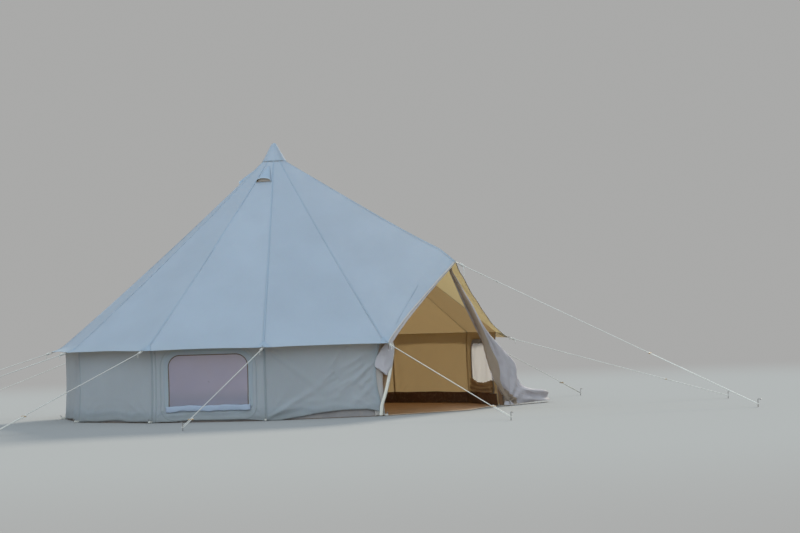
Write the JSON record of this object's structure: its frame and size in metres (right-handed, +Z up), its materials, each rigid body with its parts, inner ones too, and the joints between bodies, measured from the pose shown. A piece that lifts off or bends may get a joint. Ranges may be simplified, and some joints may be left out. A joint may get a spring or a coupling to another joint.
{
  "type": "bell tent",
  "caption": "Canvas bell tent with an open door ridge, short walls, mesh windows, hooded vents, groundsheet, centre pole and pegged guy ropes.",
  "frame": {"origin": "on the ground under the centre pole", "axes": "+Z up along the centre pole, the door ridge towards -Y, +X to the right of someone looking along +Y into the door"},
  "size_m": [9.968, 10.758, 3],
  "materials": {
    "canvas": "matt cotton canvas",
    "wall_canvas": "matt cotton canvas",
    "mesh": "fine insect mesh",
    "groundsheet": "coated woven sheet",
    "rope": "laid rope",
    "steel": "galvanised",
    "rubber": "matt"
  },
  "bodies": {
    "root": {"roof_panel_01": "canvas", "roof_panel_02": "canvas", "roof_panel_03": "canvas", "roof_panel_04": "canvas", "roof_panel_05": "canvas", "roof_panel_06": "canvas", "roof_panel_07": "canvas", "roof_panel_08": "canvas", "roof_panel_09": "canvas", "roof_panel_10": "canvas", "door_canopy_left": "canvas", "door_canopy_right": "canvas", "roof_cap": "canvas", "vent_hood_left": "canvas", "vent_hood_right": "canvas", "vent_hood_back": "canvas", "wall_panel_01": "wall_canvas", "wall_panel_02": "wall_canvas", "wall_panel_03": "wall_canvas", "wall_panel_04": "wall_canvas", "wall_panel_05": "wall_canvas", "wall_panel_06": "wall_canvas", "wall_panel_07": "wall_canvas", "wall_panel_08": "wall_canvas", "wall_panel_09": "wall_canvas", "wall_panel_10": "wall_canvas", "window_mesh_left": "mesh", "window_mesh_right": "mesh", "window_cover_left": "wall_canvas", "window_cover_right": "wall_canvas", "door_leaf_left": "wall_canvas", "door_leaf_right": "wall_canvas", "centre_pole": "steel", "pole_foot": "rubber", "groundsheet_floor": "groundsheet", "groundsheet_rim": "groundsheet", "guy_lines_front": "rope", "guy_lines_left": "rope", "guy_lines_right": "rope", "guy_lines_back": "rope", "guy_pegs": "steel", "wall_pegs": "steel"}
  },
  "joints": []
}
